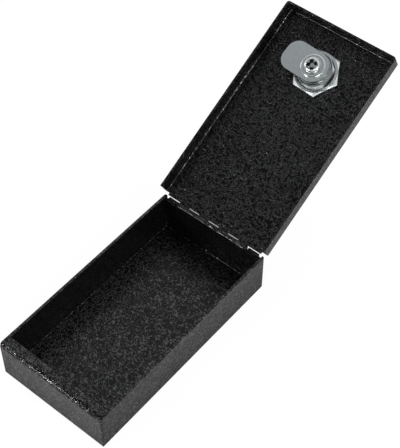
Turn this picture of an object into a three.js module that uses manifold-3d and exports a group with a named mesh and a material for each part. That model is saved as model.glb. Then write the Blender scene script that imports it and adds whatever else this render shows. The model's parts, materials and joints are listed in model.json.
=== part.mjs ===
// A small steel money box: a folded tray, a lid on a butt hinge, and a cam lock in the lid.
// Lengths are millimetres. The origin is the middle of the underside, +X is right,
// -Y is the front, where the lid locks, and +Z is up. The lid stands open.
import * as THREE from 'three';
import { mergeVertices } from 'three/addons/utils/BufferGeometryUtils.js';
import Module from 'manifold-3d';

const wasm = await Module();
wasm.setup();

// Box, folded from one sheet
const boxWidth = 70;
const boxLength = 130;
const boxHeight = 27;
const boxSheet = 1.5;
const boxBendInside = 0.5;
const boxCornerRadius = 1;
const frontLipWidth = 7.8;
const frontLipBendInside = 1.5;
const catchClearance = 0.5;
const catchEndSlit = 0.5;
const rearSlotWidth = 2;
const rearSlotDepth = 2.2;

// Lid, folded from one sheet, its flanges outside the box walls
const lidSheet = 1.2;
const lidBendInside = 1;
const lidCornerRadius = 1.7;
const lidClearance = 0.25;
const lidFlangeDepth = 9.4;
const lidSetback = 3.3;
const lidOpenAngle = 152;

// Hinge
const leafSheet = 0.8;
const leafDepth = 13.9;
const leafEndClearance = 1;
const leafCornerRadius = 1;
const barrelLength = 48;
const knuckleCount = 7;
const knuckleGap = 0.3;
const knuckleRelief = 0.2;
const hingePinDiameter = 1.5;
const hingePinClearance = 0.12;
const hingeRise = 0.2;
const barrelNotchClearance = 0.4;

// Lock housing and nut
const lockInset = 26.8;
const housingDiameter = 20.6;
const housingAcrossFlats = 17.6;
const housingDepth = 8.7;
const housingHoleClearance = 0.4;
const lockSeatTurn = 3;
const flangeDiameter = 25;
const flangeThickness = 2.4;
const flangeChamfer = 0.8;
const nutAcrossFlats = 25;
const nutThickness = 2.7;
const nutChamferAngle = 30;
const nutThreadClearance = 0.2;

// Plug, its key slot and its square tail
const plugDiameter = 12.4;
const plugShoulderDiameter = 14.4;
const plugShoulderThickness = 1.6;
const plugRecess = 0.2;
const keySlotHeight = 6.4;
const keySlotWidth = 2;
const keySlotCorner = 0.4;
const keyWardWidth = 0.6;
const keyWardHeight = 1.6;
const keySlotEndWall = 0.5;
const tailWidth = 7.4;
const tailClearance = 0.2;

// Wafers and their springs
const waferCount = 5;
const waferPitch = 1.75;
const firstWaferDepth = 0.3;
const waferThickness = 0.6;
const waferWidth = 5.4;
const waferWindowMargin = 0.2;
const waferSlotClearance = 0.2;
const waferTravel = 1;
const waferLugLength = 1.3;
const waferLugWidth = 1;
const waferLugStart = 0.2;
const springWire = 0.24;
const springDiameter = 1.14;
const springLength = 3;
const springTurns = 4;
const springClearance = 0.2;

// Stop, cam, washer and screw on the tail
const stopWasherThickness = 0.8;
const stopWasherRim = 0.8;
const stopTabAngle = 30;
const stopTabLength = 2;
const stopTurn = 90;
const stopSlack = 1.5;
const collarInset = 0.2;
const camThickness = 1.8;
const camWidth = 18;
const camTipRadius = 7;
const camCatchReach = 1.7;
const camWasherDiameter = 13.6;
const camWasherThickness = 0.7;
const screwDiameter = 3.8;
const screwHeadDiameter = 9.1;
const screwHeadHeight = 2.1;
const screwGrip = 4;
const screwHoleClearance = 0.3;
const screwRecessSpan = 4.6;
const screwRecessWidth = 1;
const screwRecessDepth = 1.3;

// Gaps between pieces clamped together, and between pieces that run in each other
const seatGap = 0.3;
const runningGap = 0.3;

// Finish of each kind of surface
const blackCoat = { color: 0x1d1d1f, roughness: 0.55, metalness: 0.1 };
const darkCoat = { color: 0x17171a, roughness: 0.5, metalness: 0.1 };
const zincPlate = { color: 0x9aa0a0, roughness: 0.38, metalness: 0.9 };
const nickelPlate = { color: 0xb6bcbc, roughness: 0.25, metalness: 1 };
const brass = { color: 0xb79a55, roughness: 0.35, metalness: 1 };
const springSteel = { color: 0x8c8f92, roughness: 0.35, metalness: 1 };

const degree = Math.PI / 180;
const past = 1;
const bendSteps = 5;
const roundSteps = 48;
const smallSteps = 24;

// Places worked out from the sizes above, closed lid, hinge axis at hingeY and hingeZ
const hingeY = boxLength / 2 - boxSheet - leafSheet / 2;
const hingeZ = boxHeight + hingeRise;
const knuckleRadius = hingePinDiameter / 2 + hingePinClearance + leafSheet;
const leafCut = knuckleRadius + knuckleRelief;
const leafLength = boxWidth - 2 * boxSheet - 2 * leafEndClearance;
const lidHalfWidth = boxWidth / 2 + lidClearance + lidSheet;
const lidFace = leafSheet / 2 + seatGap + lidSheet;
const lidFront = -(hingeY + boxLength / 2 + lidClearance + lidSheet);
const lockY = lidFront + lockInset;
const stopWasherDepth = housingDepth + seatGap;
const camDepth = stopWasherDepth + stopWasherThickness + seatGap;
const camWasherDepth = camDepth + camThickness + seatGap;
const screwHeadDepth = camWasherDepth + camWasherThickness + seatGap;
const tailDepth = camWasherDepth - seatGap / 2;
const catchBottom = hingeZ + lidFace - camDepth + catchClearance;
const camReach = lockInset - lidSheet - lidClearance - frontLipWidth + camCatchReach;
const boreRadius = plugDiameter / 2 + runningGap;
const plugFace = seatGap + flangeThickness - plugRecess;
const waferHalfLength = plugDiameter / 2 - waferSlotClearance;
const waferGrooveReach = waferHalfLength + waferTravel + waferSlotClearance;
const lastWaferDepth = firstWaferDepth + (waferCount - 1) * waferPitch;
const keySlotDepth = lastWaferDepth + waferThickness / 2 + waferSlotClearance + keySlotEndWall / 2;
const screwTipDepth = screwHeadDepth - seatGap - screwGrip;
const stopWasherRadius = plugDiameter / 2 + stopWasherRim;
const springAcross = waferWidth / 2 + waferSlotClearance + springDiameter / 2 + springClearance / 2;
const springStart = waferLugStart - springClearance - springLength;

// Solids and booleans
function toSolid(geometry) {
  geometry.deleteAttribute('normal');
  geometry.deleteAttribute('uv');
  const merged = mergeVertices(geometry);
  const vertProperties = new Float32Array(merged.attributes.position.array);
  const triVerts = new Uint32Array(merged.index.array);
  return new wasm.Manifold(new wasm.Mesh({ numProp: 3, vertProperties, triVerts }));
}

function toGeometry(solid) {
  const mesh = solid.getMesh();
  const geometry = new THREE.BufferGeometry();
  geometry.setAttribute('position', new THREE.BufferAttribute(mesh.vertProperties, 3));
  geometry.setIndex(new THREE.BufferAttribute(mesh.triVerts, 1));
  geometry.computeVertexNormals();
  return geometry;
}

function join(first, ...others) {
  return others.reduce((sum, other) => sum.add(other), first);
}

function cut(body, ...tools) {
  return tools.reduce((rest, tool) => rest.subtract(tool), body);
}

function common(first, ...others) {
  return others.reduce((shared, other) => shared.intersect(other), first);
}

// A closed outline from its corners, each [across, up] or [across, up, fillet radius]
function outline(corners) {
  const shape = new THREE.Shape();
  corners.forEach(([x, y, radius = 0], index) => {
    const corner = new THREE.Vector2(x, y);
    const before = new THREE.Vector2(...corners.at(index - 1)).sub(corner).normalize();
    const after = new THREE.Vector2(...corners.at((index + 1) % corners.length)).sub(corner).normalize();
    const halfAngle = before.angleTo(after) / 2;
    const start = corner.clone().addScaledVector(before, radius / Math.tan(halfAngle));
    if (index === 0) shape.moveTo(start.x, start.y);
    else shape.lineTo(start.x, start.y);
    if (radius === 0) return;
    const end = corner.clone().addScaledVector(after, radius / Math.tan(halfAngle));
    const inward = before.clone().add(after).normalize();
    const centre = corner.clone().addScaledVector(inward, radius / Math.sin(halfAngle));
    const startAngle = start.clone().sub(centre).angle();
    const endAngle = end.clone().sub(centre).angle();
    shape.absarc(centre.x, centre.y, radius, startAngle, endAngle, before.cross(after) > 0);
  });
  return shape;
}

function rectangle(left, low, right, high, radius = 0) {
  return outline([[left, low, radius], [right, low, radius], [right, high, radius], [left, high, radius]]);
}

// An outline pushed along an axis. It is drawn in (y, z) for x, in (x, z) for y, in (x, y) for z.
function prism(axis, shape, from, to, steps = bendSteps) {
  const geometry = new THREE.ExtrudeGeometry(shape, {
    depth: to - from,
    bevelEnabled: false,
    curveSegments: steps,
  });
  if (axis === 'x') {
    geometry.rotateX(90 * degree).rotateZ(90 * degree).translate(from, 0, 0);
  } else if (axis === 'y') {
    geometry.rotateX(90 * degree).translate(0, to, 0);
  } else {
    geometry.translate(0, 0, from);
  }
  return toSolid(geometry);
}

function block(x, y, z) {
  const geometry = new THREE.BoxGeometry(x[1] - x[0], y[1] - y[0], z[1] - z[0]);
  geometry.translate((x[0] + x[1]) / 2, (y[0] + y[1]) / 2, (z[0] + z[1]) / 2);
  return toSolid(geometry);
}

// A round bar along X
function rodAlongX(radius, from, to) {
  const geometry = new THREE.CylinderGeometry(radius, radius, to - from, smallSteps);
  geometry.rotateZ(-90 * degree).translate((from + to) / 2, 0, 0);
  return toSolid(geometry);
}

// A solid of revolution about Z from [radius, z] points that go up the outside
function turned(points, steps = roundSteps) {
  const low = points[0][1];
  const high = points.at(-1)[1];
  const profile = [[0, low], ...points, [0, high]].map(([radius, z]) => new THREE.Vector2(radius, z));
  return toSolid(new THREE.LatheGeometry(profile, steps).rotateX(90 * degree));
}

function disc(radius, from, to, steps = roundSteps) {
  return turned([[radius, from], [radius, to]], steps);
}

function hexagon(acrossFlats) {
  const radius = acrossFlats / 2 / Math.cos(30 * degree);
  const corner = (_, side) => [radius * Math.cos(side * 60 * degree), radius * Math.sin(side * 60 * degree)];
  return outline(Array.from({ length: 6 }, corner));
}

// A sector of a ring about Z, its angles in degrees from +X
function ringSector(innerRadius, outerRadius, startAngle, endAngle, from, to) {
  const shape = new THREE.Shape();
  shape.absarc(0, 0, outerRadius, startAngle * degree, endAngle * degree, false);
  shape.absarc(0, 0, innerRadius, endAngle * degree, startAngle * degree, true);
  return prism('z', shape, from, to, roundSteps);
}

// A round wire wound along X from the origin, closed at both ends
function coilAlongX(coilDiameter, wire, length, turns) {
  const stepsPerTurn = 8;
  const sides = 5;
  const steps = turns * stepsPerTurn;
  const coilRadius = (coilDiameter - wire) / 2;
  const climb = (length - wire) / steps;
  const positions = [];
  for (let step = 0; step <= steps; step += 1) {
    const around = (step / stepsPerTurn) * 360 * degree;
    for (let side = 0; side < sides; side += 1) {
      const tilt = (side / sides) * 360 * degree;
      const radius = coilRadius + (wire / 2) * Math.cos(tilt);
      const along = wire / 2 + climb * step + (wire / 2) * Math.sin(tilt);
      positions.push(along, radius * Math.cos(around), radius * Math.sin(around));
    }
  }
  const triangles = [];
  for (let step = 0; step < steps; step += 1) {
    for (let side = 0; side < sides; side += 1) {
      const here = step * sides + side;
      const beside = step * sides + ((side + 1) % sides);
      triangles.push(here, here + sides, beside, beside, here + sides, beside + sides);
    }
  }
  const lastRing = steps * sides;
  for (let side = 1; side < sides - 1; side += 1) {
    triangles.push(0, side, side + 1);
    triangles.push(lastRing, lastRing + side + 1, lastRing + side);
  }
  const geometry = new THREE.BufferGeometry();
  geometry.setAttribute('position', new THREE.Float32BufferAttribute(positions, 3));
  geometry.setIndex(triangles);
  return geometry;
}

function piece(name, solid, finish) {
  const geometry = solid.isBufferGeometry ? solid : toGeometry(solid);
  const mesh = new THREE.Mesh(geometry, new THREE.MeshStandardMaterial(finish));
  mesh.name = name;
  return mesh;
}

// Box shell: floor, four walls, the front lip and its folded-down catch
function boxShell() {
  const halfWidth = boxWidth / 2;
  const halfLength = boxLength / 2;
  const bendOutside = boxBendInside + boxSheet;
  const lipBendOutside = frontLipBendInside + boxSheet;
  const innerHalfWidth = halfWidth - boxSheet;
  const innerHalfLength = halfLength - boxSheet;
  const innerCorner = Math.max(boxCornerRadius - boxSheet, boxBendInside);
  const lipEdge = -halfLength + frontLipWidth;
  const catchFront = lipEdge - boxSheet;
  const underLip = boxHeight - boxSheet;
  const above = boxHeight + past;

  const outside = common(
    prism('z', rectangle(-halfWidth, -halfLength, halfWidth, halfLength, boxCornerRadius), -past, above),
    prism('y', outline([
      [-halfWidth, 0, bendOutside],
      [halfWidth, 0, bendOutside],
      [halfWidth, boxHeight],
      [-halfWidth, boxHeight],
    ]), -halfLength - past, halfLength + past),
    prism('x', outline([
      [-halfLength, 0, bendOutside],
      [halfLength, 0, bendOutside],
      [halfLength, boxHeight],
      [-halfLength, boxHeight, lipBendOutside],
    ]), -halfWidth - past, halfWidth + past),
  );

  // The inside follows the lip and the catch, so it is drawn from the side
  const insideFromSide = outline([
    [-innerHalfLength, boxSheet, boxBendInside],
    [innerHalfLength, boxSheet, boxBendInside],
    [innerHalfLength, above],
    [lipEdge - bendOutside - past, above],
    [lipEdge - bendOutside - past, boxHeight],
    [lipEdge, boxHeight, bendOutside],
    [lipEdge, catchBottom],
    [catchFront, catchBottom],
    [catchFront, underLip, boxBendInside],
    [-innerHalfLength, underLip, frontLipBendInside],
  ]);
  const inside = common(
    prism('x', insideFromSide, -halfWidth - past, halfWidth + past),
    prism('y', outline([
      [-innerHalfWidth, boxSheet, boxBendInside],
      [innerHalfWidth, boxSheet, boxBendInside],
      [innerHalfWidth, above],
      [-innerHalfWidth, above],
    ]), -halfLength - past, halfLength + past),
    prism(
      'z',
      rectangle(-innerHalfWidth, -innerHalfLength, innerHalfWidth, innerHalfLength, innerCorner),
      0,
      above,
    ),
  );

  const notchHalfLength = barrelLength / 2 + barrelNotchClearance;
  const notchBottom = hingeZ - knuckleRadius - barrelNotchClearance;
  const barrelNotch = block(
    [-notchHalfLength, notchHalfLength],
    [innerHalfLength - past, halfLength + past],
    [notchBottom, above],
  );
  const catchSlit = block(
    [innerHalfWidth - catchEndSlit, innerHalfWidth],
    [catchFront - boxBendInside, lipEdge + past],
    [catchBottom - past, underLip],
  );
  const rearSlot = block(
    [innerHalfWidth - rearSlotWidth, innerHalfWidth],
    [innerHalfLength - past, halfLength + past],
    [boxHeight - rearSlotDepth, above],
  );
  const rightCuts = join(catchSlit, rearSlot);
  return cut(outside, inside, barrelNotch, rightCuts, rightCuts.mirror([1, 0, 0]));
}

// Lid shell: plate, two side flanges, a front flange and the lock's hole, rear end open
function lidShell() {
  const bottom = lidFace - lidFlangeDepth;
  const rear = -lidSetback;
  const bendOutside = lidBendInside + lidSheet;
  const innerHalfWidth = lidHalfWidth - lidSheet;
  const innerFront = lidFront + lidSheet;
  const innerFace = lidFace - lidSheet;
  const innerCorner = Math.max(lidCornerRadius - lidSheet, lidBendInside);

  const outside = common(
    prism('z', outline([
      [-lidHalfWidth, lidFront, lidCornerRadius],
      [lidHalfWidth, lidFront, lidCornerRadius],
      [lidHalfWidth, rear],
      [-lidHalfWidth, rear],
    ]), bottom - past, lidFace + past),
    prism('y', outline([
      [-lidHalfWidth, bottom],
      [lidHalfWidth, bottom],
      [lidHalfWidth, lidFace, bendOutside],
      [-lidHalfWidth, lidFace, bendOutside],
    ]), lidFront - past, rear + past),
    prism('x', outline([
      [lidFront, bottom],
      [rear, bottom],
      [rear, lidFace],
      [lidFront, lidFace, bendOutside],
    ]), -lidHalfWidth - past, lidHalfWidth + past),
  );
  const inside = common(
    prism('z', outline([
      [-innerHalfWidth, innerFront, innerCorner],
      [innerHalfWidth, innerFront, innerCorner],
      [innerHalfWidth, rear + past],
      [-innerHalfWidth, rear + past],
    ]), bottom - past, lidFace),
    prism('y', outline([
      [-innerHalfWidth, bottom - past],
      [innerHalfWidth, bottom - past],
      [innerHalfWidth, innerFace, lidBendInside],
      [-innerHalfWidth, innerFace, lidBendInside],
    ]), lidFront, rear + past),
    prism('x', outline([
      [innerFront, bottom - past],
      [rear + past, bottom - past],
      [rear + past, innerFace],
      [innerFront, innerFace, lidBendInside],
    ]), -lidHalfWidth, lidHalfWidth),
  );
  const holeRadius = housingDiameter / 2 + housingHoleClearance;
  const holeHalfFlat = housingAcrossFlats / 2 + housingHoleClearance;
  const lockHole = common(
    disc(holeRadius, -past, lidFace + past),
    block([-holeHalfFlat, holeHalfFlat], [-holeRadius, holeRadius], [-past, lidFace + past]),
  ).translate(0, lockY, 0);
  return cut(outside, inside, lockHole);
}

// One hinge leaf with every second knuckle, its axis on X and its plate towards -Y
function hingeLeaf(firstKnuckle) {
  const halfSheet = leafSheet / 2;
  const pitch = barrelLength / knuckleCount;
  let leaf = prism('z', outline([
    [-leafLength / 2, -leafDepth, leafCornerRadius],
    [leafLength / 2, -leafDepth, leafCornerRadius],
    [leafLength / 2, -leafCut],
    [-leafLength / 2, -leafCut],
  ]), -halfSheet, halfSheet);
  for (let knuckle = firstKnuckle; knuckle < knuckleCount; knuckle += 2) {
    const from = -barrelLength / 2 + knuckle * pitch + knuckleGap / 2;
    const to = from + pitch - knuckleGap;
    leaf = join(
      leaf,
      block([from, to], [-leafCut - leafSheet, 0], [-halfSheet, halfSheet]),
      rodAlongX(knuckleRadius, from, to),
    );
  }
  const bore = rodAlongX(hingePinDiameter / 2 + hingePinClearance, -barrelLength, barrelLength);
  return cut(leaf, bore);
}

// Lock housing: face flange, threaded barrel with two flats, bore and the stop collar at its end
function lockHousing() {
  const flangeRadius = flangeDiameter / 2;
  const barrelRadius = housingDiameter / 2;
  const halfFlat = housingAcrossFlats / 2;
  const faceHeight = seatGap + flangeThickness;
  const shoulderRadius = plugShoulderDiameter / 2 + runningGap;
  const shoulderSeat = plugFace - plugShoulderThickness - runningGap;
  const collarHeight = stopWasherThickness + seatGap / 2;
  const collarStart = 180 + stopTabAngle / 2 + stopSlack;
  const flange = turned([
    [flangeRadius, seatGap],
    [flangeRadius, faceHeight - flangeChamfer],
    [flangeRadius - flangeChamfer, faceHeight],
  ]);
  const barrel = common(
    join(
      disc(barrelRadius, -housingDepth, seatGap + past),
      ringSector(
        stopWasherRadius + runningGap,
        barrelRadius - collarInset,
        collarStart + stopTurn,
        collarStart + 360 - stopTabAngle - 2 * stopSlack,
        -housingDepth - collarHeight,
        -housingDepth + past,
      ),
    ),
    block([-halfFlat, halfFlat], [-barrelRadius, barrelRadius], [-housingDepth - past * 2, seatGap + past]),
  );
  const bore = join(
    disc(boreRadius, -housingDepth - past * 2, faceHeight + past),
    disc(shoulderRadius, shoulderSeat, faceHeight + past),
  );
  const grooveHalfWidth = waferWidth / 2 + 2 * waferSlotClearance;
  const grooveTop = -firstWaferDepth + waferThickness / 2 + waferSlotClearance;
  const grooveBottom = -lastWaferDepth - waferThickness / 2 - waferSlotClearance;
  const reach = [-waferGrooveReach, waferGrooveReach];
  const across = [-grooveHalfWidth, grooveHalfWidth];
  const depth = [grooveBottom, grooveTop];
  return cut(join(flange, barrel), bore, block(reach, across, depth), block(across, reach, depth));
}

// Hexagon nut, chamfered on both faces
function lockNut() {
  const cornerRadius = nutAcrossFlats / 2 / Math.cos(30 * degree);
  const flatRadius = nutAcrossFlats / 2;
  const chamfer = (cornerRadius - flatRadius) * Math.tan(nutChamferAngle * degree);
  const near = -lidSheet - seatGap;
  const far = near - nutThickness;
  const hex = prism('z', hexagon(nutAcrossFlats), far, near);
  const limit = turned([
    [flatRadius, far],
    [cornerRadius, far + chamfer],
    [cornerRadius, near - chamfer],
    [flatRadius, near],
  ], 2 * roundSteps);
  const bore = disc(housingDiameter / 2 + nutThreadClearance, far - past, near + past);
  return cut(common(hex, limit), bore);
}

// The springs lie on alternate sides of the plug, so neighbours do not share a pocket
function waferSide(index) {
  return index % 2 === 0 ? 1 : -1;
}

function waferHeight(index) {
  return -firstWaferDepth - index * waferPitch;
}

// Plug: shouldered round body with key slot, wafer slots and spring pockets, and a square tail
function lockPlug() {
  const radius = plugDiameter / 2;
  const halfTail = tailWidth / 2;
  const body = join(
    disc(radius, -housingDepth, plugFace),
    disc(plugShoulderDiameter / 2, plugFace - plugShoulderThickness, plugFace),
  );
  const tail = block([-halfTail, halfTail], [-halfTail, halfTail], [-tailDepth, -housingDepth + past]);
  const keySlot = join(
    prism(
      'z',
      rectangle(-keySlotHeight / 2, -keySlotWidth / 2, keySlotHeight / 2, keySlotWidth / 2, keySlotCorner),
      -keySlotDepth,
      plugFace + past,
    ),
    block([0, keyWardHeight], [0, keySlotWidth / 2 + keyWardWidth], [-keySlotDepth, plugFace + past]),
  );
  const slotHalfWidth = waferWidth / 2 + waferSlotClearance;
  const slotHalfThickness = waferThickness / 2 + waferSlotClearance;
  const pocketHalfThickness = springDiameter / 2 + springClearance;
  const pocketOuter = slotHalfWidth + springDiameter + springClearance;
  const pocketLow = springStart - springClearance;
  const pocketHigh = waferLugStart + waferLugWidth + waferTravel + springClearance;
  const slots = Array.from({ length: waferCount }, (_, index) => {
    const height = waferHeight(index);
    const slot = block(
      [-radius - past, radius + past],
      [-slotHalfWidth, slotHalfWidth],
      [height - slotHalfThickness, height + slotHalfThickness],
    );
    const across = [waferSide(index) * (slotHalfWidth - waferSlotClearance), waferSide(index) * pocketOuter];
    const pocket = block(
      [pocketLow, pocketHigh],
      across.sort((a, b) => a - b),
      [height - pocketHalfThickness, height + pocketHalfThickness],
    );
    return join(slot, pocket);
  });
  const holeRadius = screwDiameter / 2 + screwHoleClearance;
  const screwHole = disc(holeRadius, -tailDepth - past, -screwTipDepth + seatGap, smallSteps);
  return cut(join(body, tail), keySlot, screwHole, ...slots);
}

// Wafer: a flat plate with the key's window and a lug for its spring, drawn in flush with the plug
function waferPlate(side) {
  const halfWidth = waferWidth / 2;
  const halfThickness = waferThickness / 2;
  const windowHalfHeight = keySlotHeight / 2 + waferWindowMargin;
  const windowHalfWidth = keySlotWidth / 2 + waferWindowMargin;
  const plate = common(
    disc(waferHalfLength, -halfThickness, halfThickness),
    block([-waferHalfLength, waferHalfLength], [-halfWidth, halfWidth], [-past, past]),
  );
  const lugAcross = [side * (halfWidth - waferSlotClearance), side * (halfWidth + waferLugLength)];
  const lug = block(
    [waferLugStart, waferLugStart + waferLugWidth],
    lugAcross.sort((a, b) => a - b),
    [-halfThickness, halfThickness],
  );
  const window = block(
    [-windowHalfHeight, windowHalfHeight],
    [-windowHalfWidth, windowHalfWidth],
    [-past, past],
  );
  return cut(join(plate, lug), window);
}

// Stop washer: it turns with the tail, and its tab meets the ends of the housing's collar
function stopWasher() {
  const top = -stopWasherDepth;
  const bottom = top - stopWasherThickness;
  const halfHole = tailWidth / 2 + tailClearance;
  const tab = ringSector(
    stopWasherRadius - past,
    stopWasherRadius + stopTabLength,
    180 - stopTabAngle / 2,
    180 + stopTabAngle / 2,
    bottom,
    top,
  );
  const hole = block([-halfHole, halfHole], [-halfHole, halfHole], [bottom - past, top + past]);
  return cut(join(disc(stopWasherRadius, bottom, top), tab), hole);
}

// Cam: a flat plate, round at the hub, with a blunt rounded tip towards -X
function lockCam() {
  const half = camWidth / 2;
  const halfHole = tailWidth / 2 + tailClearance;
  const tipCentre = camTipRadius - camReach;
  const shape = new THREE.Shape();
  shape.absarc(0, 0, half, -90 * degree, 90 * degree, false);
  shape.absarc(tipCentre, half - camTipRadius, camTipRadius, 90 * degree, 180 * degree, false);
  shape.absarc(tipCentre, camTipRadius - half, camTipRadius, 180 * degree, 270 * degree, false);
  const far = -camDepth - camThickness;
  const plate = prism('z', shape, far, -camDepth, smallSteps);
  const hole = block([-halfHole, halfHole], [-halfHole, halfHole], [far - past, past - camDepth]);
  return cut(plate, hole);
}

function camWasher() {
  const radius = camWasherDiameter / 2;
  const edge = camWasherThickness / 4;
  const low = -camWasherDepth - camWasherThickness;
  const ring = turned([[radius - edge, low], [radius, low + edge], [radius, -camWasherDepth]]);
  const holeRadius = screwDiameter / 2 + screwHoleClearance;
  return cut(ring, disc(holeRadius, low - past, past - camWasherDepth, smallSteps));
}

// Screw: domed head with a cross recess, and a shank in the tail
function camScrew() {
  const radius = screwHeadDiameter / 2;
  const under = -screwHeadDepth;
  const top = under - screwHeadHeight;
  const halfSpan = screwRecessSpan / 2;
  const halfSlot = screwRecessWidth / 2;
  const recess = [top - past, top + screwRecessDepth];
  const head = turned([
    [radius * 0.45, top],
    [radius * 0.72, top + screwHeadHeight * 0.12],
    [radius * 0.92, top + screwHeadHeight * 0.38],
    [radius, top + screwHeadHeight * 0.72],
    [radius, under],
  ]);
  const shank = disc(screwDiameter / 2, under - seatGap, -screwTipDepth, smallSteps);
  return cut(
    join(head, shank),
    block([-halfSpan, halfSpan], [-halfSlot, halfSlot], recess),
    block([-halfSlot, halfSlot], [-halfSpan, halfSpan], recess),
  );
}

// Assembly
const moneyBox = new THREE.Group();
moneyBox.add(piece('box_shell', boxShell(), blackCoat));

const boxLeaf = piece('box_hinge_leaf', hingeLeaf(1), darkCoat);
boxLeaf.position.set(0, hingeY, hingeZ);
boxLeaf.rotation.x = 90 * degree;
moneyBox.add(boxLeaf);

const pinRod = rodAlongX(hingePinDiameter / 2, -barrelLength / 2, barrelLength / 2);
const hingePin = piece('hinge_pin', pinRod, zincPlate);
hingePin.position.set(0, hingeY, hingeZ);
moneyBox.add(hingePin);

const lid = new THREE.Group();
lid.position.set(0, hingeY, hingeZ);
lid.rotation.x = -lidOpenAngle * degree;
moneyBox.add(lid);
lid.add(piece('lid_shell', lidShell(), blackCoat));
lid.add(piece('lid_hinge_leaf', hingeLeaf(0), darkCoat));

// The lock's own zero height is the lid's outer face, and it reaches down into the box. Tightening
// the nut has turned it in its hole, as far as the play between their flats lets it.
const lock = new THREE.Group();
lock.position.set(0, lockY, lidFace);
lock.rotation.z = lockSeatTurn * degree;
lid.add(lock);
lock.add(piece('lock_housing', lockHousing(), zincPlate));
lock.add(piece('lock_nut', lockNut(), nickelPlate));
lock.add(piece('lock_plug', lockPlug(), zincPlate));
lock.add(piece('stop_washer', stopWasher(), zincPlate));
lock.add(piece('lock_cam', lockCam(), zincPlate));
lock.add(piece('cam_washer', camWasher(), nickelPlate));
lock.add(piece('cam_screw', camScrew(), nickelPlate));

for (let index = 0; index < waferCount; index += 1) {
  const plate = piece(`wafer_${index + 1}`, waferPlate(waferSide(index)), brass);
  plate.position.z = waferHeight(index);
  lock.add(plate);
  const coil = coilAlongX(springDiameter, springWire, springLength, springTurns);
  const spring = piece(`wafer_spring_${index + 1}`, coil, springSteel);
  spring.position.set(springStart, waferSide(index) * springAcross, waferHeight(index));
  lock.add(spring);
}

export default moneyBox;
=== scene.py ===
"""A small black steel money box with a cam lock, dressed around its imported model."""

import json
import math

import bmesh
import bpy
from mathutils import Matrix, Vector


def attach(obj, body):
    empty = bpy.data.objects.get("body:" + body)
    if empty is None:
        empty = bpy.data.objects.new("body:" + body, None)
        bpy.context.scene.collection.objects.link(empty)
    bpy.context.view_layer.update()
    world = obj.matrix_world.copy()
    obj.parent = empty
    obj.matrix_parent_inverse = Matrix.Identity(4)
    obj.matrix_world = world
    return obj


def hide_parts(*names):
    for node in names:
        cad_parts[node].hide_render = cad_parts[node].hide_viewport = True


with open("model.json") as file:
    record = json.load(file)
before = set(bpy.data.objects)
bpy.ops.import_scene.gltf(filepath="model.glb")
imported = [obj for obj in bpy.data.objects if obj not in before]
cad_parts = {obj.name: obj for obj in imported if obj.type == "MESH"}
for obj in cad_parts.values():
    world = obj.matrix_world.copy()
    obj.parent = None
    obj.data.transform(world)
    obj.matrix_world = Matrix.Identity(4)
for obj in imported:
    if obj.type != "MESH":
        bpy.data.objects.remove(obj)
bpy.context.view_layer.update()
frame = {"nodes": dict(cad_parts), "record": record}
nodes = frame["nodes"]
joints = {joint["name"]: joint for joint in frame["record"]["behaviour"]["joints"]}

MM = 0.001

# Camera, fitted to the outlines of the box and the lid in the photograph
CAMERA_PLACE = Vector((0.26613, -0.27104, 0.55801))
CAMERA_AZIMUTH = math.radians(39.40)
CAMERA_ELEVATION = math.radians(51.05)
CAMERA_ROLL = math.radians(0.26)
CAMERA_LENS = 100.25

# Rounded edges of the dressed pieces, and how sharp a bend in degrees has to be to get one
ROUNDED_ABOVE = 40
SHEET_EDGE = 0.18 * MM
LEAF_EDGE = 0.12 * MM
CAM_EDGE = 0.45 * MM
NUT_EDGE = 0.14 * MM
WASHER_EDGE = 0.15 * MM

# Lock housing, measured from the outer face of the lid, outward positive, angles in degrees
BARREL_RADIUS = 10.3 * MM
BARREL_HALF_FLAT = 8.8 * MM
BARREL_END = -8.7 * MM
THREAD_TOP = -1.2 * MM
THREAD_PITCH = 1.5 * MM
THREAD_DEPTH = 0.7 * MM
THREAD_STEEPNESS = 2.6
THREAD_LEAD_IN = 0.6 * THREAD_PITCH
THREAD_ROWS = 12
THREAD_COLUMNS = 144
HOUSING_EDGE = 0.25 * MM
BORE_RADIUS = 6.5 * MM
GROOVED_RADIUS = 6.52 * MM
GROOVE_HALF_WIDTH = 3.1 * MM
GROOVE_REACH = 7.2 * MM
GROOVE_TOP = 0.2 * MM
GROOVE_BOTTOM = -7.8 * MM
SHOULDER_BORE_RADIUS = 7.5 * MM
SHOULDER_SEAT = 0.6 * MM
FLANGE_RADIUS = 12.5 * MM
FLANGE_BOTTOM = 0.3 * MM
FLANGE_TOP = 2.7 * MM
FLANGE_ROUNDING = 0.9 * MM
COLLAR_INNER_RADIUS = 7.3 * MM
COLLAR_OUTER_RADIUS = 10.1 * MM
COLLAR_END = -9.65 * MM
COLLAR_ANGLES = (286.5, 523.5)
COLLAR_STEPS = 48

# Lock nut, on the barrel against the inner face of the lid
NUT_HALF_FLAT = 12.5 * MM
NUT_NEAR = -1.5 * MM
NUT_FAR = -4.2 * MM
NUT_BORE_RADIUS = 10.5 * MM
NUT_COUNTERSINK = 0.5 * MM
NUT_FACE_RADIUS = 12.35 * MM
NUT_CHAMFER_SLOPE = math.tan(math.radians(30))
NUT_CORNER_ROUNDING = 0.35 * MM
NUT_HALF_SIDE = math.radians(30)
NUT_COLUMNS = 240

# Cam screw, on the same axis
SCREW_HEAD_RADIUS = 4.55 * MM
SCREW_UNDER = -13.2 * MM
SCREW_TOP = -15.3 * MM
SCREW_RIM = 0.55 * MM
SCREW_CROWN_POWER = 10
SCREW_CROWN_STEPS = 30
SCREW_COLUMNS = 96
SCREW_SHANK_RADIUS = 1.9 * MM
SCREW_SHANK_END = -8.9 * MM
RECESS_REACH = 3.4 * MM
RECESS_HALF_WIDTH = 0.8 * MM
RECESS_DEPTH = 1.5 * MM
RECESS_WALL = 0.28 * MM
RECESS_END_SLOPE = 0.9 * MM
RECESS_TURN = math.radians(52)

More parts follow.
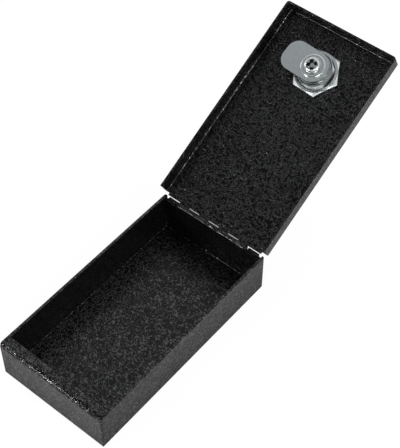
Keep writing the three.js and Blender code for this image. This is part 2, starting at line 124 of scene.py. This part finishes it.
# The object's outline on the floor, box and raised lid together, where the floor's painted shade in gloss
# falls, and the point the lamps face
FOOTPRINT_HALF_WIDTH = 35 * MM
FOOTPRINT_MIDDLE = 57 * MM
FOOTPRINT_HALF_LENGTH = 122 * MM
OBJECT_MIDDLE = Vector((0, 0.06, 0.03))

# The coating's veins and grain
VEIN_SIZE = 1.9 * MM
VEIN_HALF_WIDTH = 0.08
VEIN_SHARE = 0.4
FINE_GRAIN_SIZE = 0.35 * MM
SWELL_SIZE = FINE_GRAIN_SIZE * 2.6
LUMP_HEIGHT = 0.16 * MM
GRAIN_HEIGHT = 0.03 * MM

# How wide one ring of a wave texture is at a scale of 1
WAVE_RING = 0.314

# Floor and backdrop, in metres
FLOOR_RADIUS = 2.2
FLOOR_BEND = 0.8
FLOOR_BEND_STEPS = 8
BACKDROP_HEIGHT = 1.2
FLOOR_COLUMNS = 96
FLOOR_PAINT = (0.86, 0.86, 0.86, 1)
FLOOR_WHITE = 1.02
FLOOR_WHITE_SHARE = 0.92


def lock_frame():
    """The lock's own axes: Z out of the lid's outer face, X the way the wafers slide."""
    place = Vector(joints["lock_turn"]["pos_m"])
    out = Vector(joints["lock_turn"]["axis"]).normalized()
    across = Vector(joints["wafer_1_slide"]["axis"]).normalized()
    up = out.cross(across)
    turn = Matrix((across, up, out)).transposed().to_4x4()
    return Matrix.Translation(place) @ turn


LOCK = lock_frame()


# Shader helpers
class Graph:
    """Short calls for the nodes of one material."""

    def __init__(self, tree):
        self.tree = tree
        self.coordinates = self.add("TexCoord").outputs
        self.object_place = self.coordinates["Object"]

    def add(self, kind, **links):
        node = self.tree.nodes.new("ShaderNode" + kind)
        for socket, value in links.items():
            self.feed(node.inputs[socket.replace("_", " ")], value)
        return node

    def feed(self, socket, value):
        if isinstance(value, bpy.types.NodeSocket):
            self.tree.links.new(value, socket)
        else:
            socket.default_value = value

    def math(self, operation, *values):
        node = self.add("Math")
        node.operation = operation
        for socket, value in zip(node.inputs, values):
            self.feed(socket, value)
        return node.outputs["Value"]

    def between(self, value, low, high, from_low=0.0, from_high=1.0, smooth=False):
        node = self.add("MapRange", Value=value)
        node.interpolation_type = "SMOOTHSTEP" if smooth else "LINEAR"
        node.inputs["From Min"].default_value = from_low
        node.inputs["From Max"].default_value = from_high
        node.inputs["To Min"].default_value = low
        node.inputs["To Max"].default_value = high
        return node.outputs["Result"]


class Surface(Graph):
    """A principled material and the textures that drive it."""

    def __init__(self, name, **values):
        self.material = bpy.data.materials.new(name)
        self.material.use_nodes = True
        super().__init__(self.material.node_tree)
        self.shader = self.tree.nodes["Principled BSDF"]
        for socket, value in values.items():
            self.drive(socket, value)

    def drive(self, socket, value):
        self.feed(self.shader.inputs[socket.replace("_", " ")], value)

    def noise(self, size, detail=2.0, roughness=0.5, distortion=0.0):
        node = self.add(
            "TexNoise",
            Vector=self.object_place,
            Scale=1 / size,
            Detail=detail,
            Roughness=roughness,
            Distortion=distortion,
        )
        return node.outputs["Fac"]

    def ramp(self, value, stops):
        node = self.add("ValToRGB", Fac=value)
        elements = node.color_ramp.elements
        while len(elements) < len(stops):
            elements.new(0.5)
        for element, (position, colour) in zip(elements, stops):
            element.position = position
            element.color = (*colour, 1)
        return node.outputs["Color"]

    def bump(self, height, strength, distance, under=None):
        node = self.add("Bump", Height=height, Strength=strength, Distance=distance)
        if under is not None:
            self.feed(node.inputs["Normal"], under)
        return node.outputs["Normal"]


def powder_coat(name, dark, light, wrinkle=1.0):
    """Black powder coat: short winding veins that stand up a little, a fine grain, and painted shade that
    leaves it darker and less glossy between the veins.
    """
    coat = Surface(name, IOR=1.5)
    folds = coat.noise(VEIN_SIZE, detail=1.0, distortion=0.8)
    off_vein = coat.math("ABSOLUTE", coat.math("SUBTRACT", folds, 0.5))
    veins = coat.between(off_vein, 1.0, 0.0, 0.0, VEIN_HALF_WIDTH, smooth=True)
    swell = coat.noise(SWELL_SIZE, detail=1.0)
    vein_part = coat.math("MULTIPLY", veins, VEIN_SHARE)
    swell_part = coat.math("MULTIPLY", swell, 1 - VEIN_SHARE)
    lumps_and_painted_shade = coat.math("ADD", vein_part, swell_part)
    grain = coat.noise(FINE_GRAIN_SIZE, detail=1.0)
    broad = coat.bump(lumps_and_painted_shade, wrinkle, LUMP_HEIGHT)
    coat.drive("Normal", coat.bump(grain, 0.06, GRAIN_HEIGHT, under=broad))
    # Painted shade: darker tint and weaker gloss in the low places between the veins, lighter and
    # glossier on them
    coat.drive("Base Color", coat.ramp(lumps_and_painted_shade, [(0.4, dark), (0.7, light)]))
    coat.drive("Specular IOR Level", coat.between(lumps_and_painted_shade, 0.16, 0.98, 0.34, 0.68))
    coat.drive("Roughness", coat.between(grain, 0.2, 0.3, 0.3, 0.7))
    return coat.material


def turned_place(surface):
    """Coordinates about the lock's axis, for rings left by turning and for the painted shade in the
    lock's hollows.
    """
    back = LOCK.inverted()
    node = surface.add("Mapping", Vector=surface.object_place)
    node.inputs["Location"].default_value = back.to_translation()
    node.inputs["Rotation"].default_value = back.to_euler()
    return node.outputs["Vector"]


def dimmed(surface, tint, share):
    """A tint made darker by a share between 0 and 1."""
    shade = surface.add("VectorMath")
    shade.operation = "SCALE"
    surface.feed(shade.inputs[0], tint)
    surface.feed(shade.inputs["Scale"], surface.math("SUBTRACT", 1, share))
    return shade.outputs["Vector"]


def plated(name, dark, light, rough, ring_strength=0.0, ring_size=0.35 * MM, painted_shade=None):
    """Zinc or nickel plate: a clouded tint, uneven gloss, fine pits, turned rings and, where given,
    painted shade.
    """
    metal = Surface(name, Metallic=1.0)
    cloud = metal.noise(1.8 * MM, detail=4.0, roughness=0.6)
    tint = metal.ramp(cloud, [(0.3, dark), (0.7, light)])
    smear = metal.noise(0.5 * MM, detail=3.0, roughness=0.6)
    gloss = metal.between(smear, rough - 0.03, rough + 0.03, 0.3, 0.7)
    pits = metal.noise(0.16 * MM, detail=2.0)
    normal = metal.bump(pits, 0.07, 0.02 * MM)
    if ring_strength:
        rings = metal.add("TexWave", Vector=turned_place(metal), Scale=WAVE_RING / ring_size)
        rings.wave_type = "RINGS"
        rings.rings_direction = "Z"
        normal = metal.bump(rings.outputs["Fac"], ring_strength, 0.03 * MM, under=normal)
    # Painted shade in hollows, where one is given
    if painted_shade:
        tint, gloss = painted_shade(metal, tint, gloss)
    metal.drive("Base Color", tint)
    metal.drive("Roughness", gloss)
    metal.drive("Normal", normal)
    return metal.material


def from_axis(surface):
    """A point's distance from the lock's axis, and its three coordinates in the lock's own axes."""
    parts = surface.add("SeparateXYZ", Vector=turned_place(surface))
    squares = [surface.math("POWER", parts.outputs[name], 2) for name in "XY"]
    return surface.math("SQRT", surface.math("ADD", *squares)), parts


def recess_painted_shade(surface, tint, gloss):
    """Painted shade on the walls of the cam screw's recess; its middle is left unshaded."""
    away, parts = from_axis(surface)
    outer = surface.between(away, 1.0, 0.0, 0.85 * RECESS_REACH, 1.15 * RECESS_REACH)
    inner = surface.between(away, 0.0, 1.0, 0.25 * RECESS_REACH, 0.45 * RECESS_REACH)
    depth = parts.outputs["Z"]
    sunk = surface.between(depth, 0.0, 0.95, SCREW_TOP + 0.2 * MM, SCREW_TOP + 0.7 * MM)
    # Painted shade: the recess walls are darkened, the middle and the head's top are not
    share = surface.math("MULTIPLY", surface.math("MULTIPLY", outer, inner), sunk)
    return dimmed(surface, tint, share), gloss


def thread_painted_shade_and_flats(surface, tint, gloss):
    """Painted shade in the grooves of the barrel's thread; its milled flats are made darker and rougher.
    """
    away, parts = from_axis(surface)
    across = surface.math("ABSOLUTE", parts.outputs["X"])
    root = BARREL_RADIUS - THREAD_DEPTH
    groove = surface.between(away, 0.9, 0.0, root + 0.15 * MM, root + 0.5 * MM)
    barrel = surface.between(away, 0.0, 1.0, root - 0.3 * MM, root - 0.2 * MM)
    flat = BARREL_HALF_FLAT
    turned = surface.between(across, 1.0, 0.0, flat - 0.2 * MM, flat - 0.05 * MM)
    # Painted shade in the thread's grooves
    grooves = surface.math("MULTIPLY", surface.math("MULTIPLY", groove, barrel), turned)
    milled = surface.math("MULTIPLY", surface.math("SUBTRACT", 1, turned), 0.4)
    tint = dimmed(surface, tint, surface.math("ADD", grooves, milled))
    return tint, surface.math("ADD", gloss, milled)


# Materials, each with its darkest and its lightest tint
# The coat's darkest and lightest tints are the two ends of its painted shade, between the veins and on
# them
COAT_DARK = (0.0012, 0.0012, 0.0013)
COAT_LIGHT = (0.004, 0.004, 0.0043)
coat_material = powder_coat("powder_coat_black", COAT_DARK, COAT_LIGHT)
hinge_material = powder_coat("hinge_coat_black", COAT_DARK, COAT_LIGHT, wrinkle=0.9)
zinc_material = plated("zinc_plate", (0.75, 0.81, 0.81), (0.82, 0.89, 0.89), 0.24)
turned_zinc_material = plated(
    "zinc_plate_turned",
    (0.62, 0.65, 0.65),
    (0.72, 0.75, 0.75),
    0.2,
    ring_strength=0.1,
    painted_shade=thread_painted_shade_and_flats,
)
nickel_material = plated("nickel_plate", (0.74, 0.78, 0.78), (0.83, 0.87, 0.87), 0.26)
turned_nickel_material = plated(
    "nickel_plate_turned",
    (0.72, 0.75, 0.75),
    (0.84, 0.87, 0.87),
    0.22,
    ring_strength=1.0,
    ring_size=1.1 * MM,
)
screw_material = plated(
    "nickel_plate_screw",
    (0.60, 0.63, 0.63),
    (0.72, 0.75, 0.75),
    0.3,
    painted_shade=recess_painted_shade,
)
brass_material = plated("wafer_brass", (0.55, 0.42, 0.19), (0.70, 0.56, 0.29), 0.28)
spring_material = plated("spring_steel", (0.42, 0.43, 0.45), (0.56, 0.57, 0.59), 0.25)


# Mesh helpers
def add_piece(name, mesh, material, body, replaced, sharp=38, flat_above=60):
    """Adds a piece, smooth but for faces larger than an area in square millimetres."""
    mesh.normal_update()
    data = bpy.data.meshes.new(name)
    mesh.to_mesh(data)
    mesh.free()
    data.set_sharp_from_angle(angle=math.radians(sharp))
    for polygon in data.polygons:
        polygon.use_smooth = polygon.area < flat_above * MM ** 2
    data.materials.append(material)
    piece = bpy.data.objects.new(name, data)
    bpy.context.scene.collection.objects.link(piece)
    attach(piece, body)
    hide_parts(replaced)


def round_edges(mesh, edge, steps):
    """Rounds every edge where the surface turns by more than ROUNDED_ABOVE."""
    limit = math.radians(ROUNDED_ABOVE)
    sharp = [e for e in mesh.edges if len(e.link_faces) == 2 and e.calc_face_angle(0) > limit]
    bmesh.ops.bevel(
        mesh,
        geom=sharp,
        offset=edge,
        offset_type="OFFSET",
        segments=steps,
        profile=0.5,
        affect="EDGES",
        clamp_overlap=True,
    )


def add_softened(node, edge, material, body, steps=2, flat_above=60):
    """Adds a copy of a node whose sharp edges are rounded a little, as paint and tumbling do."""
    mesh = bmesh.new()
    mesh.from_mesh(nodes[node].data)
    mesh.transform(nodes[node].matrix_world)
    bmesh.ops.remove_doubles(mesh, verts=mesh.verts, dist=0.002 * MM)
    bmesh.ops.dissolve_limit(
        mesh,
        angle_limit=math.radians(1),
        verts=mesh.verts,
        edges=mesh.edges,
        delimit={"NORMAL"},
    )
    round_edges(mesh, edge, steps)
    add_piece(node + "_soft", mesh, material, body, node, flat_above=flat_above)


def lathe(mesh, profile, columns, closed=True, warp=None):
    """Turns a profile of (radius, height) about the lock's axis; warp may move each point."""
    rows = []
    for radius, height in profile:
        row = []
        for column in range(columns):
            angle = 2 * math.pi * column / columns
            place = Vector((radius * math.cos(angle), radius * math.sin(angle), height))
            if warp:
                place = warp(place, angle)
            row.append(mesh.verts.new(LOCK @ place))
        rows.append(row)
    pairs = list(zip(rows, rows[1:] + rows[:1])) if closed else list(zip(rows, rows[1:]))
    for low, high in pairs:
        for column in range(columns):
            beside = (column + 1) % columns
            mesh.faces.new((low[column], low[beside], high[beside], high[column]))
    return rows


def ring_sector(mesh, inner, outer, angles, low, high, steps):
    """A closed block that follows part of a circle about the lock's axis."""
    start, end = (math.radians(angle) for angle in angles)
    loops = []
    for step in range(steps + 1):
        angle = start + (end - start) * step / steps
        loop = []
        for radius, height in ((inner, low), (outer, low), (outer, high), (inner, high)):
            place = Vector((radius * math.cos(angle), radius * math.sin(angle), height))
            loop.append(mesh.verts.new(LOCK @ place))
        loops.append(loop)
    for here, there in zip(loops, loops[1:]):
        for corner in range(4):
            beside = (corner + 1) % 4
            mesh.faces.new((here[corner], here[beside], there[beside], there[corner]))
    mesh.faces.new(loops[0][::-1])
    mesh.faces.new(loops[-1])


# Pieces of the lock
def lock_housing():
    """Face flange with a rolled rim, threaded barrel with two flats, and the stop collar."""
    turns = (THREAD_TOP - BARREL_END) / THREAD_PITCH
    row_count = int(turns * THREAD_ROWS)
    heights = [BARREL_END + (THREAD_TOP - BARREL_END) * row / row_count for row in range(row_count + 1)]
    rim = []
    for step in range(7):
        tilt = math.radians(90 * step / 6)
        inset = FLANGE_ROUNDING * (1 - math.cos(tilt))
        drop = FLANGE_ROUNDING * (1 - math.sin(tilt))
        rim.append((FLANGE_RADIUS - inset, FLANGE_TOP - drop))
    profile = [
        (BORE_RADIUS, BARREL_END),
        *[(BARREL_RADIUS, height) for height in heights],
        (BARREL_RADIUS - THREAD_DEPTH, FLANGE_BOTTOM),
        (FLANGE_RADIUS, FLANGE_BOTTOM),
        *rim,
        (SHOULDER_BORE_RADIUS + HOUSING_EDGE, FLANGE_TOP),
        (SHOULDER_BORE_RADIUS, FLANGE_TOP - HOUSING_EDGE),
        (SHOULDER_BORE_RADIUS, SHOULDER_SEAT),
        (BORE_RADIUS, SHOULDER_SEAT),
        (BORE_RADIUS, GROOVE_TOP),
        (GROOVED_RADIUS, GROOVE_TOP),
        (GROOVED_RADIUS, GROOVE_BOTTOM),
        (BORE_RADIUS, GROOVE_BOTTOM),
    ]

    def cut_grooves(place):
        """Widens the bore on four sides, where the wafers slide out."""
        for across, outward in ((0, 1), (1, 0)):
            if abs(place[across]) < GROOVE_HALF_WIDTH + 0.1 * MM:
                place[outward] = math.copysign(GROOVE_REACH, place[outward])
        return place

    def cut_thread(place, angle):
        """Cuts the thread and its lead-in into the barrel, and mills the two flats."""
        phase = (place.z / THREAD_PITCH - angle / (2 * math.pi)) % 1
        depth = THREAD_DEPTH * (1 - min(1, THREAD_STEEPNESS * min(phase, 1 - phase)))
        ends = min(1, (place.z - BARREL_END) / THREAD_LEAD_IN)
        radius = place.xy.length - depth * ends - (1 - ends) * 0.5 * THREAD_DEPTH
        x = max(-BARREL_HALF_FLAT, min(BARREL_HALF_FLAT, radius * math.cos(angle)))
        return Vector((x, radius * math.sin(angle), place.z))

    def shape(place, angle):
        if abs(place.xy.length - GROOVED_RADIUS) < 0.001 * MM:
            return cut_grooves(place)
        if place.z > THREAD_TOP + HOUSING_EDGE or place.xy.length < BARREL_RADIUS - THREAD_DEPTH:
            return place
        return cut_thread(place, angle)

    mesh = bmesh.new()
    lathe(mesh, profile, THREAD_COLUMNS, warp=shape)
    ring_sector(
        mesh,
        COLLAR_INNER_RADIUS,
        COLLAR_OUTER_RADIUS,
        COLLAR_ANGLES,
        COLLAR_END,
        BARREL_END,
        COLLAR_STEPS,
    )
    # The flats run on over the collar
    for vertex in mesh.verts:
        local = LOCK.inverted() @ vertex.co
        if local.z < THREAD_TOP and abs(local.x) > BARREL_HALF_FLAT:
            local.x = math.copysign(BARREL_HALF_FLAT, local.x)
            vertex.co = LOCK @ local
    add_piece("lock_housing_threaded", mesh, turned_zinc_material, "lid", "lock_housing")


def lock_nut():
    """Hexagon nut with rounded corners, chamfered faces and a countersunk bore."""
    rounding_place = (NUT_HALF_FLAT - NUT_CORNER_ROUNDING) / math.cos(NUT_HALF_SIDE)
    outer_rows = NUT_FACE_RADIUS + MM

    def side(angle):
        """How far the hexagon reaches at an angle. One of its corners is at 0."""
        off = abs((angle + NUT_HALF_SIDE) % (2 * NUT_HALF_SIDE) - NUT_HALF_SIDE)
        flat = NUT_HALF_FLAT / math.cos(NUT_HALF_SIDE - off)
        swing = rounding_place * math.sin(off)
        if swing > NUT_CORNER_ROUNDING:
            return flat
        around = rounding_place * math.cos(off) + math.sqrt(NUT_CORNER_ROUNDING ** 2 - swing ** 2)
        return min(flat, around)

    def shape(place, angle):
        """Moves the outer rows out to the hexagon and back by the chamfer."""
        if place.xy.length < NUT_FACE_RADIUS + NUT_EDGE:
            return place
        reach = side(angle)
        inset = outer_rows - place.xy.length
        drop = (reach - NUT_FACE_RADIUS) * NUT_CHAMFER_SLOPE
        middle = (NUT_NEAR + NUT_FAR) / 2
        height = place.z + math.copysign(drop, middle - place.z)
        return Vector(((reach - inset) * math.cos(angle), (reach - inset) * math.sin(angle), height))

    edge = [(0.6 * NUT_EDGE, 0.0), (0.2 * NUT_EDGE, 0.35 * NUT_EDGE), (0.0, NUT_EDGE)]
    profile = [
        (NUT_BORE_RADIUS, NUT_NEAR),
        (NUT_BORE_RADIUS, NUT_FAR + NUT_COUNTERSINK),
        (NUT_BORE_RADIUS + NUT_COUNTERSINK, NUT_FAR),
        (NUT_FACE_RADIUS, NUT_FAR),
        *[(outer_rows - inset, NUT_FAR + depth) for inset, depth in edge],
        *[(outer_rows - inset, NUT_NEAR - depth) for inset, depth in reversed(edge)],
        (NUT_FACE_RADIUS, NUT_NEAR),
    ]
    mesh = bmesh.new()
    lathe(mesh, profile, NUT_COLUMNS, warp=shape)
    add_piece("lock_nut_chamfered", mesh, nickel_material, "lid", "lock_nut", sharp=25)


def cam_screw():
    """Pan head with a cross recess sunk into it, on a plain shank."""
    height = SCREW_UNDER - SCREW_TOP

    def crown(radius):
        inside = radius / SCREW_HEAD_RADIUS
        return SCREW_TOP + (height - SCREW_RIM) * inside ** SCREW_CROWN_POWER

    def recess(radius, angle):
        """How deep the cross is sunk at a place on the head."""
        x = abs(radius * math.cos(angle - RECESS_TURN))
        y = abs(radius * math.sin(angle - RECESS_TURN))
        arms = min(x, y)
        reach = max(x, y)
        across = max(0.0, min(1.0, (RECESS_HALF_WIDTH + RECESS_WALL - arms) / RECESS_WALL))
        along = max(0.0, min(1.0, (RECESS_REACH - reach) / RECESS_END_SLOPE))
        return RECESS_DEPTH * across * along

    def sink(place, angle):
        """Lowers the head's top, and no other row, by the recess."""
        if place.z < SCREW_UNDER - SCREW_RIM and place.xy.length < SCREW_HEAD_RADIUS * 0.999:
            return place + Vector((0, 0, recess(place.xy.length, angle)))
        return place

    steps = range(1, SCREW_CROWN_STEPS)
    radii = [SCREW_HEAD_RADIUS * step / SCREW_CROWN_STEPS for step in steps]
    profile = [
        *[(radius, crown(radius)) for radius in radii],
        (SCREW_HEAD_RADIUS, SCREW_UNDER - SCREW_RIM),
        (SCREW_HEAD_RADIUS, SCREW_UNDER),
        (SCREW_SHANK_RADIUS, SCREW_UNDER),
        (SCREW_SHANK_RADIUS, SCREW_SHANK_END),
    ]
    mesh = bmesh.new()
    rows = lathe(mesh, profile, SCREW_COLUMNS, closed=False, warp=sink)
    mesh.faces.new(rows[0][::-1])
    mesh.faces.new(rows[-1])
    add_piece("cam_screw_recessed", mesh, screw_material, "plug", "cam_screw")


# Assembly
add_softened("box_shell", SHEET_EDGE, coat_material, "box")
add_softened("lid_shell", SHEET_EDGE, coat_material, "lid")
add_softened("box_hinge_leaf", LEAF_EDGE, hinge_material, "box")
add_softened("lid_hinge_leaf", LEAF_EDGE, hinge_material, "lid")
add_softened("lock_cam", CAM_EDGE, zinc_material, "plug", steps=3)
add_softened("cam_washer", WASHER_EDGE, turned_nickel_material, "plug", flat_above=5)
add_softened("stop_washer", WASHER_EDGE, zinc_material, "plug", flat_above=5)
lock_housing()
lock_nut()
cam_screw()

# Pieces that keep the shape of their solids and only get a material
carried_over = {
    "hinge_pin": zinc_material,
    "lock_plug": turned_zinc_material,
}
carried_over.update({name: brass_material for name in nodes if name.startswith("wafer_")})
carried_over.update({name: spring_material for name in nodes if name.startswith("wafer_spring_")})
for name, material in carried_over.items():
    for material_slot in nodes[name].material_slots:
        material_slot.material = material


# Floor and backdrop, one sheet that curves up far behind the object
def floor_gloss_with_painted_shade(graph):
    """Painted shade: how bright the floor looks in the object's gloss, darkened where the object stands
    on it and near it, and a little darker to either side of it.
    """
    parts = graph.add("SeparateXYZ", Vector=graph.object_place)
    beside = graph.math("SUBTRACT", graph.math("ABSOLUTE", parts.outputs["X"]), FOOTPRINT_HALF_WIDTH)
    from_middle = graph.math("SUBTRACT", parts.outputs["Y"], FOOTPRINT_MIDDLE)
    before = graph.math("SUBTRACT", graph.math("ABSOLUTE", from_middle), FOOTPRINT_HALF_LENGTH)
    away = graph.math("MAXIMUM", beside, before)
    contact = graph.between(away, 0.0, 1.0, -1.5 * MM, 0.8 * MM, smooth=True)
    nearness = graph.between(away, 0.44, 0.94, 0.0, 14 * MM)
    side = graph.between(beside, 1.0, 0.8, -1 * MM, 1 * MM)
    return graph.math("MULTIPLY", graph.math("MULTIPLY", contact, nearness), side)


def studio_material():
    """Pale paint for the shadow, mixed with a plain white for the camera and for gloss; in gloss the
    white is darkened near the object as painted shade.
    """
    material = bpy.data.materials.new("studio_white")
    material.use_nodes = True
    graph = Graph(material.node_tree)
    graph.tree.nodes.remove(graph.tree.nodes["Principled BSDF"])
    rays = graph.add("LightPath")
    direct = graph.math("MAXIMUM", rays.outputs["Is Camera Ray"], rays.outputs["Is Transmission Ray"])
    # The white seen in gloss carries the painted shade near the object
    white = graph.math("MAXIMUM", direct, floor_gloss_with_painted_shade(graph))
    shown = graph.math("MAXIMUM", direct, rays.outputs["Is Glossy Ray"])
    paint = graph.add("BsdfDiffuse", Color=FLOOR_PAINT)
    glow = graph.add("Emission", Strength=graph.math("MULTIPLY", white, FLOOR_WHITE))
    mix = graph.add("MixShader", Fac=graph.math("MULTIPLY", shown, FLOOR_WHITE_SHARE))
    graph.feed(mix.inputs[1], paint.outputs[0])
    graph.feed(mix.inputs[2], glow.outputs[0])
    graph.feed(graph.tree.nodes["Material Output"].inputs["Surface"], mix.outputs[0])
    return material


def studio():
    """A round floor that bends up into a backdrop all round."""
    profile = [(FLOOR_RADIUS, 0.0)]
    for step in range(1, FLOOR_BEND_STEPS + 1):
        angle = math.radians(90 * step / FLOOR_BEND_STEPS)
        rise = FLOOR_BEND * (1 - math.cos(angle))
        profile.append((FLOOR_RADIUS + FLOOR_BEND * math.sin(angle), rise))
    profile.append((FLOOR_RADIUS + FLOOR_BEND, BACKDROP_HEIGHT))
    mesh = bmesh.new()
    turns = [2 * math.pi * column / FLOOR_COLUMNS for column in range(FLOOR_COLUMNS)]
    rows = [[mesh.verts.new((0, 0, 0))] * FLOOR_COLUMNS]
    for radius, height in profile:
        rows.append([mesh.verts.new((radius * math.cos(a), radius * math.sin(a), height)) for a in turns])
    for low, high in zip(rows, rows[1:]):
        for column in range(FLOOR_COLUMNS):
            beside = (column + 1) % FLOOR_COLUMNS
            corners = [low[column], low[beside], high[beside], high[column]]
            mesh.faces.new(list(dict.fromkeys(corners)))
    data = bpy.data.meshes.new("studio_floor")
    bmesh.ops.recalc_face_normals(mesh, faces=mesh.faces)
    mesh.to_mesh(data)
    mesh.free()
    for polygon in data.polygons:
        polygon.use_smooth = True
    data.materials.append(studio_material())
    floor = bpy.data.objects.new("studio_floor", data)
    bpy.context.scene.collection.objects.link(floor)


# Lights, each named by the direction it comes from as seen at the middle of the object
def area_light(name, direction, distance, size, power):
    """A soft lamp that faces the object's middle."""
    data = bpy.data.lights.new(name, "AREA")
    data.shape = "RECTANGLE"
    data.size, data.size_y = size
    data.energy = power
    lamp = bpy.data.objects.new(name, data)
    toward = Vector(direction).normalized()
    lamp.location = OBJECT_MIDDLE + toward * distance
    lamp.rotation_euler = toward.to_track_quat("Z", "Y").to_euler()
    bpy.context.scene.collection.objects.link(lamp)


def lamps():
    """Two narrow lamps that glint on bends and rims, and two soft boxes."""
    area_light("front_left_lamp", (-0.40, -0.86, 0.31), 1.2, (0.24, 0.1), 9)
    area_light("right_lamp", (0.89, -0.05, 0.32), 1.2, (0.25, 0.1), 9)
    area_light("left_softbox", (-0.93, -0.10, 0.30), 1.2, (0.5, 0.5), 2)
    area_light("camera_side_softbox", (0.55, -0.60, 0.58), 1.3, (0.5, 0.5), 5)


def surroundings():
    """A room that is bright at the back and dark in front."""
    world = bpy.data.worlds.new("studio_world")
    world.use_nodes = True
    room = Graph(world.node_tree)
    toward = room.add("SeparateXYZ", Vector=room.coordinates["Generated"])
    glow = room.tree.nodes["Background"]
    glow.inputs["Color"].default_value = (0.97, 0.98, 1.0, 1)
    strength = room.between(toward.outputs["Y"], 0.02, 1.05, -0.6, 0.5, smooth=True)
    room.feed(glow.inputs["Strength"], strength)
    bpy.context.scene.world = world


def camera():
    """The photograph's own view."""
    data = bpy.data.cameras.new("photo_camera")
    data.lens = CAMERA_LENS
    data.sensor_width = 36
    data.clip_start = 0.01
    data.clip_end = 20
    view = bpy.data.objects.new("photo_camera", data)
    back = Vector((
        math.sin(CAMERA_AZIMUTH) * math.cos(CAMERA_ELEVATION),
        -math.cos(CAMERA_AZIMUTH) * math.cos(CAMERA_ELEVATION),
        math.sin(CAMERA_ELEVATION),
    ))
    upright = back.to_track_quat("Z", "Y")
    view.rotation_mode = "QUATERNION"
    view.rotation_quaternion = upright @ Matrix.Rotation(CAMERA_ROLL, 3, "Z").to_quaternion()
    view.location = CAMERA_PLACE
    bpy.context.scene.collection.objects.link(view)
    bpy.context.scene.camera = view


studio()
lamps()
surroundings()
camera()
bpy.context.scene.view_settings.view_transform = "Standard"
